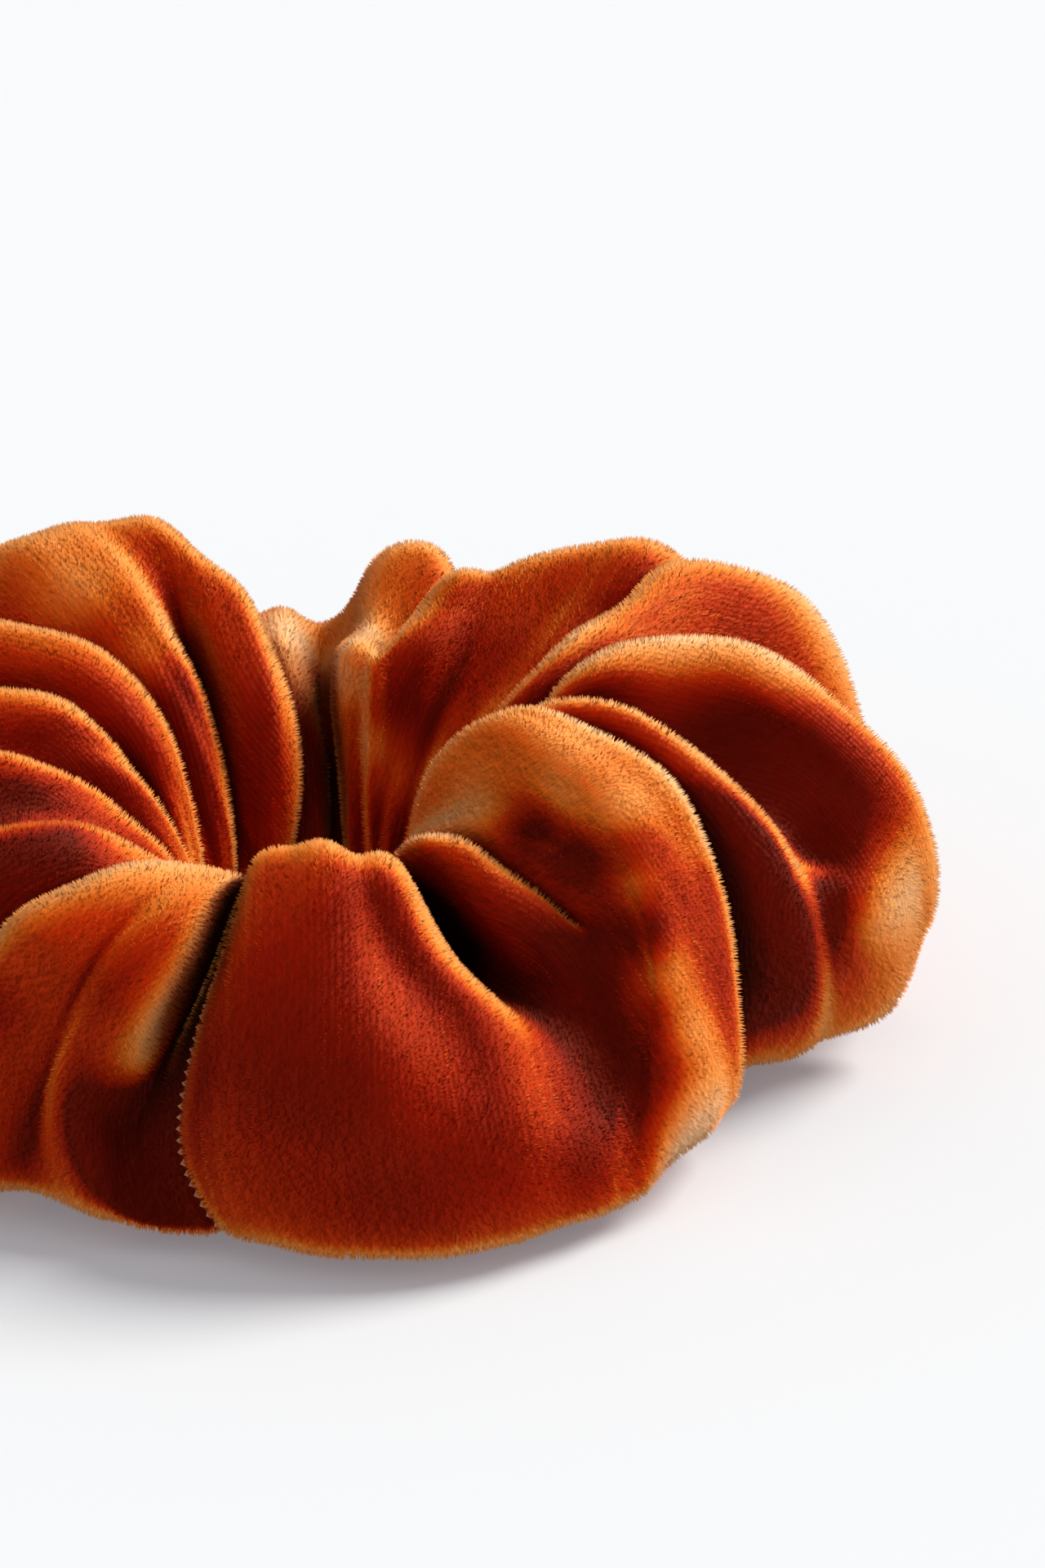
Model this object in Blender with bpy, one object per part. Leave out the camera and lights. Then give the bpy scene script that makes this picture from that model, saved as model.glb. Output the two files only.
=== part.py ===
"""Velvet scrunchie: a sewn tube of stretch velvet gathered round a loop of flat elastic.

It lies flat, ring axis up. The origin is the middle of the ring on the surface it rests on, +Z up.
The gathered velvet is one bulky solid with its real outside, a tunnel for the elastic and a smaller
tunnel for the long seam. Its two ends face each other across the end seam, where both tunnels open.
"""

import math

import bmesh
import bpy
from mathutils import Vector

# Driving dimensions, in metres.
OUTER_DIAMETER = 0.108
HOLE_DIAMETER = 0.021
BODY_HEIGHT = 0.034
GATHERS = 12
ELASTIC_WIDTH = 0.006
ELASTIC_THICKNESS = 0.0011
ELASTIC_RADIUS = 0.024
ELASTIC_LAP = 0.012
THREAD_DIAMETER = 0.0004
CLEARANCE = 0.0003
END_SEAM_ANGLE = math.radians(-105)

# The body's section, worked out from the driving dimensions.
SECTION_WIDTH = (OUTER_DIAMETER - HOLE_DIAMETER) / 2
SECTION_RADIUS = (OUTER_DIAMETER + HOLE_DIAMETER) / 4
SECTION_POWER = 2.5
FLAT_SHARE = 0.10  # of the height, cut off where the body rests
GATHER_DEPTH = 0.0035
GATHER_STEPS = 6
SECTION_STEPS = 20
RING_STEPS = GATHERS * GATHER_STEPS

# The seams. An allowance is how far inside the body's outside a seam's threads lie.
SEAM_SLIT = 2 * CLEARANCE + 2 * THREAD_DIAMETER
SEAM_ALLOWANCE = 0.005
THREAD_PITCH = 0.0012  # between the needle thread and the bobbin thread of a seam
STITCH_WAVE = 0.00012
LONG_SEAM_RADIUS = HOLE_DIAMETER / 2 + 0.0035
LONG_SEAM_HEIGHT = 0.0085
LONG_SEAM_STITCHES = 24
END_SEAM_STITCHES = 14
POINTS_PER_STITCH = 3

# The elastic's tunnel leaves room for the lap and for the tacking threads on both its faces.
LAP_STEP = ELASTIC_THICKNESS + 1.7 * CLEARANCE
ELASTIC_REACH = (LAP_STEP + ELASTIC_THICKNESS) / 2 + CLEARANCE + THREAD_DIAMETER
TUNNEL_WIDTH = 2 * (ELASTIC_REACH + 1.2 * CLEARANCE)
TUNNEL_HEIGHT = ELASTIC_WIDTH + 0.002
ELASTIC_HEIGHT = 0.0100
ELASTIC_STEPS = 80
TACK_ZIGZAGS = 5


def clear_scene():
    for obj in list(bpy.data.objects):
        bpy.data.objects.remove(obj)


def finish_material(name, colour, roughness):
    material = bpy.data.materials.new(name)
    material.use_nodes = True
    surface = material.node_tree.nodes["Principled BSDF"]
    surface.inputs["Base Color"].default_value = (*colour, 1)
    surface.inputs["Roughness"].default_value = roughness
    surface.inputs["Metallic"].default_value = 0
    return material


def ring_point(angle, radius, height):
    return Vector((radius * math.cos(angle), radius * math.sin(angle), height))


def add_mesh(name, rings, closed, material=None):
    """A mesh lofted through rings of points: a closed loop, or a bar with a face at both ends."""
    mesh = bpy.data.meshes.new(name)
    shape = bmesh.new()
    loops = [[shape.verts.new(point) for point in ring] for ring in rings]
    count = len(loops[0])
    for first, second in zip(loops, loops[1:] + loops[:1] if closed else loops[1:]):
        for k in range(count):
            after = (k + 1) % count
            shape.faces.new((first[k], first[after], second[after], second[k]))
    if not closed:
        shape.faces.new(loops[0])
        shape.faces.new(loops[-1])
    bmesh.ops.recalc_face_normals(shape, faces=shape.faces)
    shape.to_mesh(mesh)
    shape.free()
    obj = bpy.data.objects.new(name, mesh)
    bpy.context.collection.objects.link(obj)
    if material:
        mesh.materials.append(material)
        mesh.shade_smooth()
        mesh.set_sharp_from_angle(angle=math.radians(50))
    return obj


def add_thread(name, points, cyclic, material):
    """A sewing thread: a round curve through the points."""
    curve = bpy.data.curves.new(name, "CURVE")
    curve.dimensions = "3D"
    curve.bevel_depth = THREAD_DIAMETER / 2
    curve.bevel_resolution = 1
    curve.use_fill_caps = not cyclic
    spline = curve.splines.new("POLY")
    spline.points.add(len(points) - 1)
    for spot, point in zip(spline.points, points):
        spot.co = (*point, 1)
    spline.use_cyclic_u = cyclic
    curve.materials.append(material)
    obj = bpy.data.objects.new(name, curve)
    bpy.context.collection.objects.link(obj)
    return obj


def cut(obj, cutter):
    """Takes the cutter's shape out of obj. The cutter stays as a hidden helper."""
    cutter.hide_render = True
    cutter.display_type = "WIRE"
    modifier = obj.modifiers.new("cut_" + cutter.name, "BOOLEAN")
    modifier.operation = "DIFFERENCE"
    modifier.solver = "EXACT"
    modifier.object = cutter


def body_outline(angle, inset=0.0, steps=SECTION_STEPS):
    """The outline of the gathered velvet in the half plane at this angle, inset by a distance.

    It is a rounded box with a flat foot, pulled in at the top and outside between two gathers.
    """
    pull = GATHER_DEPTH * (1 - abs(math.cos(GATHERS * angle / 2)) ** 0.8)
    half_width = SECTION_WIDTH / 2 - inset
    half_height = BODY_HEIGHT / (2 - FLAT_SHARE) - inset
    foot = inset - BODY_HEIGHT + BODY_HEIGHT / (2 - FLAT_SHARE)
    points = []
    for k in range(steps):
        turn = 2 * math.pi * k / steps
        across = math.copysign(abs(math.cos(turn)) ** (2 / SECTION_POWER), math.cos(turn))
        up = math.copysign(abs(math.sin(turn)) ** (2 / SECTION_POWER), math.sin(turn))
        radius = SECTION_RADIUS + across * (half_width - pull * max(across, 0))
        height = max(up * (half_height - pull * max(up, 0)), foot)
        lifted = BODY_HEIGHT - BODY_HEIGHT / (2 - FLAT_SHARE) + height
        points.append(ring_point(angle, radius, 0.0 if height == foot and not inset else lifted))
    return points


def tunnel(name, radius, height, width, tall):
    """A cutter that runs all the way round the ring, with a rectangular section."""
    corners = ((-1, -1), (1, -1), (1, 1), (-1, 1))
    rings = []
    for k in range(RING_STEPS):
        turn = 2 * math.pi * k / RING_STEPS
        rings.append([
            ring_point(turn, radius + x * width / 2, height + z * tall / 2) for x, z in corners
        ])
    return add_mesh(name, rings, closed=True)


def end_seam_cutter():
    """A thin box across the body, as wide as the gap that the end seam's threads lie in."""
    along = ring_point(END_SEAM_ANGLE, 1, 0)
    across = Vector((-along.y, along.x, 0)) * SEAM_SLIT / 2
    reach = OUTER_DIAMETER
    ends = [along * HOLE_DIAMETER / 4, along * reach]
    rings = [
        [end - across + Vector((0, 0, -reach)), end + across + Vector((0, 0, -reach)),
         end + across + Vector((0, 0, reach)), end - across + Vector((0, 0, reach))]
        for end in ends
    ]
    return add_mesh("end_seam_gap", rings, closed=False)


def build_casing(velvet):
    """The gathered velvet tube, with the elastic's tunnel, the long seam's tunnel and the end seam."""
    rings = [body_outline(2 * math.pi * k / RING_STEPS) for k in range(RING_STEPS)]
    casing = add_mesh("velvet_casing", rings, closed=True, material=velvet)
    cut(casing, tunnel("elastic_tunnel", ELASTIC_RADIUS, ELASTIC_HEIGHT, TUNNEL_WIDTH, TUNNEL_HEIGHT))
    seam_room = 2 * (STITCH_WAVE + THREAD_DIAMETER / 2 + CLEARANCE)
    seam_tall = seam_room + THREAD_PITCH
    cut(casing, tunnel("long_seam_tunnel", LONG_SEAM_RADIUS, LONG_SEAM_HEIGHT, 1.4 * seam_room, seam_tall))
    cut(casing, end_seam_cutter())
    return casing


def build_long_seam(thread, name, side):
    """One thread of the seam that closes the strip into a tube. Side is +1 for needle, -1 for bobbin."""
    count = LONG_SEAM_STITCHES * POINTS_PER_STITCH
    points = []
    for k in range(count):
        wave = STITCH_WAVE * math.cos(2 * math.pi * k / POINTS_PER_STITCH)
        height = LONG_SEAM_HEIGHT + side * THREAD_PITCH / 2 + wave
        points.append(ring_point(2 * math.pi * k / count, LONG_SEAM_RADIUS, height))
    return add_thread(name, points, True, thread)


def build_end_seam(thread, name, side):
    """One thread of the seam that joins the tube's two ends, a loop in the gap between them."""
    count = END_SEAM_STITCHES * POINTS_PER_STITCH
    middle = ring_point(END_SEAM_ANGLE, SECTION_RADIUS, BODY_HEIGHT / 2)
    depth = SEAM_ALLOWANCE - side * THREAD_PITCH / 2
    points = []
    for k, point in enumerate(body_outline(END_SEAM_ANGLE, inset=depth, steps=count)):
        wave = STITCH_WAVE * math.cos(2 * math.pi * k / POINTS_PER_STITCH)
        points.append(point + (point - middle).normalized() * wave)
    return add_thread(name, points, True, thread)


def build_elastic(rubber):
    """The flat elastic, a strip bent into a loop whose ends lie one on the other for the lap's length."""
    lap_angle = ELASTIC_LAP / ELASTIC_RADIUS
    whole = 2 * math.pi + lap_angle
    growth = LAP_STEP * whole / (2 * math.pi)
    corners = ((-1, -1), (1, -1), (1, 1), (-1, 1))
    rings = []
    for k in range(ELASTIC_STEPS + 1):
        share = k / ELASTIC_STEPS
        turn = share * whole - lap_angle / 2
        middle = ELASTIC_RADIUS + (share - 0.5) * growth
        rings.append([
            ring_point(turn, middle + x * ELASTIC_THICKNESS / 2, ELASTIC_HEIGHT + z * ELASTIC_WIDTH / 2)
            for x, z in corners
        ])
    return add_mesh("elastic_band", rings, closed=False, material=rubber)


def build_tack(thread, name, side):
    """One thread of the zigzag that holds the elastic's lap, on its outer (+1) or inner (-1) face."""
    face = (LAP_STEP + ELASTIC_THICKNESS) / 2 + CLEARANCE * 0.9 + THREAD_DIAMETER / 2
    radius = ELASTIC_RADIUS + side * face
    reach = ELASTIC_LAP * 0.32 / ELASTIC_RADIUS
    turns = 2 * TACK_ZIGZAGS
    points = []
    for k in range(turns + 1):
        angle = reach * (2 * k / turns - 1)
        height = ELASTIC_HEIGHT + ELASTIC_WIDTH * 0.33 * (1 if k % 2 else -1)
        points.append(ring_point(angle, radius, height))
    return add_thread(name, points, False, thread)


def main():
    clear_scene()
    velvet = finish_material("stretch_velvet", (0.46, 0.085, 0.012), 0.85)
    rubber = finish_material("braided_elastic", (0.62, 0.60, 0.56), 0.7)
    thread = finish_material("polyester_thread", (0.55, 0.13, 0.03), 0.5)
    build_casing(velvet)
    build_long_seam(thread, "long_seam_needle_thread", 1)
    build_long_seam(thread, "long_seam_bobbin_thread", -1)
    build_end_seam(thread, "end_seam_needle_thread", 1)
    build_end_seam(thread, "end_seam_bobbin_thread", -1)
    build_elastic(rubber)
    build_tack(thread, "elastic_tack_needle_thread", 1)
    build_tack(thread, "elastic_tack_bobbin_thread", -1)


main()
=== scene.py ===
import math

import bmesh
import bpy
import numpy as np
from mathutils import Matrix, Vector, noise
from mathutils.bvhtree import BVHTree


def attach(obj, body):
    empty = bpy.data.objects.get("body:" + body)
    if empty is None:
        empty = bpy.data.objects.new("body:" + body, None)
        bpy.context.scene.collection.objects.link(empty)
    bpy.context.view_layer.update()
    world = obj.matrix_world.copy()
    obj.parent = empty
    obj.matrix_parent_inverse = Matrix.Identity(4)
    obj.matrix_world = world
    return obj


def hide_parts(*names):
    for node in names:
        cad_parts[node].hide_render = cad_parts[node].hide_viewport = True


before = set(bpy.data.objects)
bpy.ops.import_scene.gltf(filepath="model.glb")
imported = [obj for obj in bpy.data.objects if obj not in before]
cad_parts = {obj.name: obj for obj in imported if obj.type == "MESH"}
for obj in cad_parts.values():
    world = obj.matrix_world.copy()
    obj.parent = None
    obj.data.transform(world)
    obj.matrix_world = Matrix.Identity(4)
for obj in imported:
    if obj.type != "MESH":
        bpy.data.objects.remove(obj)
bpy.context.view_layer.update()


# The velvet casing: a strip of burnt orange stretch velvet, sewn into a closed tube, turned right side out
# and gathered 2 to 1 over the elastic, so that it stands in deep soft pleats all round.

# The pleats that it is lofted through, each one crest, valley or flat of the cloth, followed from the hole's
# wall over the top and down the outside. It has seven places: (angle in degrees, distance from the middle,
# height), in millimetres. Before them stands how wide the cloth rolls over there, in millimetres: 0 for a
# plain pleat, else one figure for each place, -1 where the cloth just runs on.
PLEATS = [
    ("end_seam", 0, [(-101, 11, 9), (-101, 19, 20), (-100.8, 27.5, 25),
     (-102.3, 35, 20.5), (-103.8, 40, 14.5), (-103.5, 42.5, 7.5), (-98, 45, 2)]),
    ("front_left", 0, [(-99, 10.5, 9), (-99, 18, 21.5), (-98.5, 27.5, 26.5),
     (-98.5, 36, 23.5), (-98.5, 43, 17), (-98, 46, 8.5), (-94, 46, 2)]),
    ("front_a", 0, [(-92, 10.5, 9), (-92, 18, 22), (-92, 28, 27.5),
     (-91.5, 37.5, 24.5), (-91, 45, 17), (-90, 47.5, 9), (-88, 47.5, 2)]),
    ("front_b", 0, [(-85, 11, 9), (-85, 19.5, 22.8), (-85, 29.5, 28.5),
     (-83.5, 38.5, 24.8), (-81.5, 46, 17.5), (-80, 49, 9), (-80, 49, 2)]),
    ("front_rim", (1, 2, 2, 2, 1, 0, 0), [(-73, 12, 8), (-77, 21.5, 23.5), (-78, 31.5, 28.3),
     (-75.5, 37, 23.6), (-70.5, 42, 17.2), (-70, 48.5, 9.5), (-71, 49, 2)]),
    ("front_valley", 0, [(-64, 13, 7), (-65, 17, 12), (-65.5, 23, 14.5),
     (-63, 32, 13.8), (-60, 41, 13.4), (-62, 47.8, 9.4), (-65, 48.5, 2)]),
    ("front_valley_side", 0, [(-61, 13, 7), (-62, 16.5, 12), (-62, 22.5, 15),
     (-58.5, 31, 14.5), (-55, 40, 14), (-57, 47.2, 9.6), (-61, 48.3, 2)]),
    ("tongue", (2, 4, 4, 4, -1, -1, -1), [(-66, 12, 10), (-71, 17, 20.5), (-66, 23, 27),
     (-57.5, 28.3, 25), (-51.5, 37, 17.6), (-54, 46, 10.6), (-58, 48, 2)]),
    ("tongue_valley", 0, [(-54, 12, 9), (-58, 15.5, 14), (-55, 21.5, 15),
     (-51.5, 27, 17.5), (-48.5, 37.3, 20.2), (-52, 45.6, 12), (-55, 48, 2)]),
    ("roll_lip", (0, 2, 4, 4, -1, -1, -1), [(-48, 11, 10), (-52, 13, 21), (-54, 20, 27),
     (-50.5, 27.6, 28.2), (-46.4, 37, 23), (-50.5, 45, 13.4), (-53, 47.8, 3)]),
    ("roll_face", 0, [(-43, 10.5, 10), (-47, 12.5, 23), (-46, 19.5, 31),
     (-45.3, 28, 31), (-44.7, 36.4, 25.6), (-48.5, 44.3, 15.5), (-51, 47.5, 4)]),
    ("roll_crease", 0, [(-40, 10.5, 10), (-43, 12.5, 24.5), (-41, 19, 33),
     (-41.5, 28, 32.8), (-41.4, 36, 28.4), (-45.4, 43.8, 17.6), (-48, 47.5, 5)]),
    ("roll_dip", 0, [(-37, 10.5, 10), (-38.5, 13, 25), (-38, 19.4, 32.8),
     (-38.1, 27.6, 32.2), (-37.9, 35.9, 28), (-40.8, 42.6, 17.4), (-45, 47, 5)]),
    ("roll_edge", (1, 3, 3, 4, 4, 3, 1), [(-33, 10.5, 10), (-35, 13.5, 26), (-35, 20, 33.5),
     (-34, 27.3, 33.5), (-32, 35.7, 30), (-33.8, 41.5, 19.6), (-40.5, 45.3, 5)]),
    ("right_valley", 0, [(-31, 12, 8), (-30, 15, 17), (-29, 21.5, 20),
     (-29, 30, 18), (-32, 34.5, 12), (-34, 36.5, 8), (-36, 38.5, 2)]),
    ("right_panel", 0, [(-31, 11, 9), (-29.5, 15, 21), (-27, 23, 27.5),
     (-26.5, 32, 26), (-27.5, 40, 21), (-28.5, 43, 12), (-24.5, 40.5, 2.5)]),
    ("right_crest", (1, 3, 3, 3, 1, 0, 0), [(-28, 11.5, 12), (-27, 19, 31.5), (-22.5, 27, 33.8),
     (-22.6, 35.5, 29.3), (-21.7, 42.8, 22.6), (-23.4, 46.2, 13.8), (-19, 45, 3)]),
    ("right_dimple", 0, [(-21, 12, 9), (-21, 17, 23), (-17, 25, 26),
     (-14.5, 33.5, 23.5), (-16.5, 43, 21.5), (-19, 50, 16), (-14.5, 48, 3.5)]),
    ("right_slope", 0, [(-12, 12, 9), (-15, 16, 25), (-9, 24.5, 30.5),
     (-6, 33, 29.5), (-8.5, 42, 27.5), (-14, 51.5, 17), (-11.5, 50.5, 4)]),
    ("right_back", (1, 4, 5, 7, 7, 4, 2), [(-4, 11, 10), (-14, 16.5, 26), (-3.5, 23.5, 34),
     (1.5, 31.5, 35), (0, 40, 33.5), (-7, 51.5, 24.5), (-9, 53, 10)]),
    ("right_under", 0, [(1, 12, 9), (-2, 16, 22), (3, 23, 27),
     (7, 31.5, 28), (8, 41, 26), (2, 50, 15), (-1, 50, 4)]),
    ("east_valley", 0, [(6, 12, 8), (5, 16, 18), (9, 24, 22),
     (12, 34, 21), (13, 42, 18), (10, 47.5, 9), (8, 48, 2)]),
    ("east_crest", (1, 3, 3, 4, 5, 4, 0), [(9, 11, 10), (9, 15, 26), (17, 22.5, 33),
     (24, 29.5, 33.5), (31, 38, 35), (28, 50.5, 29), (22, 52.5, 5)]),
    ("east_hollow", 0, [(20, 12, 8), (21, 15.5, 19), (27, 21.5, 23),
     (33, 28, 26), (37.5, 36, 30.5), (37, 49.5, 25), (34, 51.5, 4)]),
    ("rear_crest", (1, 2, 2, 0, 0, 0, 0), [(38, 11, 10), (38, 16.5, 19.5), (39.5, 23.5, 24.5),
     (41, 31.5, 29.3), (42, 40, 33.2), (45, 50, 21), (46, 50, 3)]),
    ("rear_face", 0, [(48, 12, 10), (48, 17.5, 19), (49, 23, 24),
     (50, 29.5, 28.8), (50.5, 36, 32.8), (53, 47, 20), (54, 48, 3)]),
    ("wall_right", 0, [(58, 12.5, 9), (58.5, 17.5, 18), (58.5, 22, 23.8),
     (58.5, 27, 28.4), (58, 32, 31.8), (60, 44, 18), (61, 47, 3)]),
    ("wall_edge", (0, 0, 1, 2, 3, 1, 0), [(66, 12.5, 9), (67, 16.5, 18), (69, 19.5, 26.5),
     (66.5, 25, 29.3), (64.5, 29.5, 31.5), (67, 41, 17), (68, 46, 3)]),
    ("wall_fold", 0, [(74, 12.5, 9), (76, 16, 18), (76.5, 17.8, 25.5),
     (75.5, 22, 23.5), (72, 28, 26), (74, 39, 16), (75, 45, 3)]),
    ("wall_peak", (0, 0, 1, 3, 9, 4, 0), [(80, 13.5, 8), (82.5, 17, 17.5), (84.5, 19, 26.5),
     (81, 26, 26), (77, 34.5, 32.5), (79.5, 42, 20), (80, 45, 3)]),
    ("wall_left", 0, [(86, 15.5, 6), (88, 20, 14), (89, 22.5, 22),
     (88, 28, 23.5), (86, 34, 26), (86, 41, 17), (87, 44.5, 3)]),
    ("north_valley", 0, [(92, 14.5, 5), (93, 19, 11), (94, 24, 17.5),
     (93, 29, 21), (92, 34, 22.5), (91, 42, 12), (91, 44, 3)]),
    ("north_crest", (2, 5, 7, 8, 8, 3, 0), [(99, 12.5, 6), (99, 17, 14), (100, 22.5, 22),
     (100, 28.5, 25.5), (99, 36, 25), (99, 44, 14), (99, 46, 3)]),
    ("big_valley", 0, [(107, 14, 5), (106, 18, 12), (107, 24, 19),
     (107, 29.5, 24), (107, 37, 24.5), (109, 44, 13), (110, 46, 3)]),
    ("big_roll", (2, 5, 6, 4, 0, 0, 0), [(116, 11, 10), (112.5, 13.5, 23), (114.5, 21.5, 31),
     (118, 28, 33.8), (121, 36, 34.8), (123, 47, 24), (123, 49, 4)]),
    ("big_crevice", 0, [(137, 12, 7), (130, 15, 13), (125.5, 20.5, 21.5),
     (124.5, 27.5, 31.5), (126, 37, 34.6), (128, 48, 24), (128, 50, 4)]),
    ("big_crest", (1, 4, 5, 2, 0, 0, 0), [(144, 11, 9), (139, 13.5, 20), (134, 21, 29.5),
     (131.5, 29, 33.9), (131, 38.5, 34.6), (134, 49.5, 24), (134, 51, 4)]),
    ("big_slope", 0, [(150, 11.5, 8), (146, 15, 18), (142.5, 22.5, 27),
     (140.5, 31, 33), (140, 40, 34), (142, 50, 22), (142, 51, 3)]),
    ("west_valley_a", 0, [(158, 12, 8), (156, 15.5, 16), (155.5, 22, 20),
     (155, 30, 22), (155, 39.5, 22), (155, 47, 13), (155, 48, 3)]),
    ("west_roll_a", (2, 5, 6, 8, 8, 4, 0), [(176, 11, 10), (172, 13, 24), (166, 20, 31.5),
     (164, 28.5, 33.3), (164, 39.5, 32.5), (164, 49, 19), (164, 50, 4)]),
    ("west_slot_a", 0, [(186, 12, 9), (181, 16, 16.5), (174.5, 22, 22),
     (174, 29.5, 24.5), (176, 39, 30), (175, 49, 17), (175, 50, 3)]),
    ("west_roll_b", (2, 4, 5, 5, 0, 0, 0), [(196, 11, 10), (191, 15.5, 23.5), (183.5, 22, 29.5),
     (181, 30, 31), (183, 40, 32), (184, 51, 18), (184, 52, 4)]),
    ("west_valley_b", 0, [(206, 12, 8), (203, 17.5, 18.5), (197, 23.5, 24.5),
     (193, 31, 26.5), (192, 41, 27), (192, 50, 15), (192, 51, 3)]),
    ("west_roll_c", (1, 3, 5, 7, 7, 4, 0), [(216, 11.5, 9), (214, 18, 22), (207, 25, 28.6),
     (201.5, 32, 30.3), (200, 42, 29), (200, 52, 17), (200, 53, 4)]),
    ("left_dip", 0, [(225, 12.5, 8), (225, 19, 18), (218, 26.5, 25),
     (213, 33.5, 26.8), (210, 43, 25.5), (209, 51, 14), (209, 52, 3)]),
    ("left_panel", (1, 3, 6, 8, 9, 5, 0), [(234, 12.5, 9), (235, 21, 21), (229, 29, 27.6),
     (223, 36, 28.8), (219, 44, 26.3), (217, 51.5, 16), (217, 52, 3)]),
    ("left_valley", 0, [(243, 13, 7), (244.5, 20.5, 16.5), (242.5, 28.5, 21.5),
     (237, 36, 20), (231, 42, 16), (228, 45, 9), (228, 46, 3)]),
    ("left_roll", (1, 3, 5, 6, 6, 4, 0), [(247, 12, 8), (249, 20, 20), (248.5, 28.5, 26.5),
     (245, 36.5, 28.5), (240, 44.5, 26), (236.5, 49, 17), (235, 48.5, 4)]),
    ("near_valley", 0, [(250, 12, 8), (252, 20, 20), (251.8, 28.5, 26.3),
     (248.5, 37, 26.2), (244.5, 42.5, 20), (241, 43.5, 10), (239, 45, 3)]),
    ("near_roll", (1, 3, 5, 6, 6, 5, 2), [(253, 12, 8), (255, 20, 20), (255.5, 28.5, 26.3),
     (252, 36.5, 26.5), (248, 43, 21.5), (244, 45.3, 11.5), (248.5, 46, 2.5)]),
    ("near_flank", 0, [(255, 12.5, 8), (257, 20, 19.5), (257.3, 28, 23.8),
     (254.5, 35, 19.5), (251, 39.8, 13.6), (248.3, 42, 8), (252.5, 46, 2.5)]),
    ("seam_valley", 0, [(257, 13, 7), (258.2, 20, 18), (257.9, 27.5, 21.5),
     (255, 34, 15.8), (252, 38.5, 11), (251, 41, 6.5), (256, 45.5, 2)]),
]
# Soft dents pressed into it: (pleat, place on it, reach in mm, depth in mm).
DENTS = [
    ("front_valley_side", 4.8, 6, 1.6), ("front_valley", 5.4, 7, 0.8), ("roll_lip", 3.1, 3, 1.8),
    ("roll_lip", 3.5, 3, 0.8), ("right_dimple", 4.2, 3, 1.6), ("front_b", 3.2, 7, 1.0),
    ("left_roll", 4.5, 4, 1.2), ("big_slope", 3, 5, 0.8), ("east_hollow", 3.5, 4, 1.2),
]
CLOTH = 0.00025  # how thick the velvet's knit ground is, without its pile, in metres
LOWEST = 0.0004  # where the cloth rests, clear of the pile pressed under it
LOOP_RADIUS, LOOP_HEIGHT = 0.028, 0.012  # the tube's own middle line round the ring
# Where one run of cloth rows ends in a deep valley and the next begins, with the pleat each is measured from.
RUNS = [("end_seam", "front_a"), ("right_valley", "right_slope"), ("east_valley", "rear_face"),
        ("north_valley", "north_crest"), ("big_valley", "big_crest"), ("west_valley_a", "west_roll_a"),
        ("left_valley", "left_roll"), ("seam_valley", "seam_valley")]


def pleat_columns():
    """The control points, each crest widened into three columns, and the column of each pleat."""
    lines = []
    for _, widths, places in PLEATS:
        inner, outer = places[0], places[-1]
        lift = 0 if widths else 3
        under = [((inner[0] + outer[0]) / 2, (inner[1] + outer[1]) / 2, lift),
                 (inner[0], inner[1] + 2.5, 2 + lift / 3)]
        turned = [(math.radians(a), r, z) for a, r, z in places + under]
        lines.append(np.array([(r * math.cos(a), r * math.sin(a), z) for a, r, z in turned]))
    columns, start = [], {}
    for i, (name, widths, _) in enumerate(PLEATS):
        line, before, after = lines[i], lines[i - 1], lines[(i + 1) % len(lines)]
        if not widths:
            start[name] = len(columns)
            columns.append(line)
            continue
        left, right = line + (before - line) * 0.3, line + (after - line) * 0.3
        for k, width in enumerate(widths):
            if width < 0:
                continue
            spread = max(width, 3) / 2
            along = line[(k + 1) % 9] - line[k - 1]
            along /= np.linalg.norm(along)
            side = np.array([-line[k][1], line[k][0], 0])
            side -= along * (side @ along)
            side /= np.linalg.norm(side)
            out = np.cross(along, side)
            middle = np.array([28 * line[k][0], 28 * line[k][1], 0]) / np.hypot(*line[k][:2]) + (0, 0, 10)
            out *= np.sign(out @ (line[k] - middle))
            room = [min(spread, 0.42 * np.linalg.norm(beside[k] - line[k])) for beside in (before, after)]
            left[k] = line[k] - side * room[0] - out * min(width * 0.3, room[0])
            right[k] = line[k] + side * room[1] - out * min(width * 0.3, room[1])
        start[name] = len(columns) + 1
        columns += [left, line, right]
    return np.array(columns) / 1000, start


def smooth_closed(points, steps):
    """A curve through closed rows of points, with this many steps to each, that never loops."""
    a, b, c, d = np.roll(points, 1, 0), points, np.roll(points, -1, 0), np.roll(points, -2, 0)
    ab, bc, cd = (np.sqrt(np.linalg.norm(q - p, axis=-1, keepdims=True)) + 1e-6
                  for p, q in ((a, b), (b, c), (c, d)))
    leave = c - b + bc * ((b - a) / ab - (c - a) / (ab + bc))
    reach = c - b + bc * ((d - c) / cd - (d - b) / (bc + cd))
    made = []
    for k in range(steps):
        t = k / steps
        made.append((2 * t ** 3 - 3 * t * t + 1) * b + (t ** 3 - 2 * t * t + t) * leave
                    + (3 * t * t - 2 * t ** 3) * c + (t ** 3 - t * t) * reach)
    return np.stack(made, 1).reshape(-1, *points.shape[1:])


def grid_normals(grid):
    """The outward direction at each point of a closed grid."""
    round_ring = np.roll(grid, -1, 0) - np.roll(grid, 1, 0)
    round_section = np.roll(grid, -1, 1) - np.roll(grid, 1, 1)
    normals = np.cross(round_section, round_ring)
    normals /= np.linalg.norm(normals, axis=2, keepdims=True) + 1e-12
    away = grid - np.array([0, 0, LOOP_HEIGHT])
    radius = np.linalg.norm(grid[..., :2], axis=2, keepdims=True)
    away[..., :2] -= grid[..., :2] / radius * LOOP_RADIUS
    return normals * np.sign((normals * away).sum(2).mean())


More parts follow.
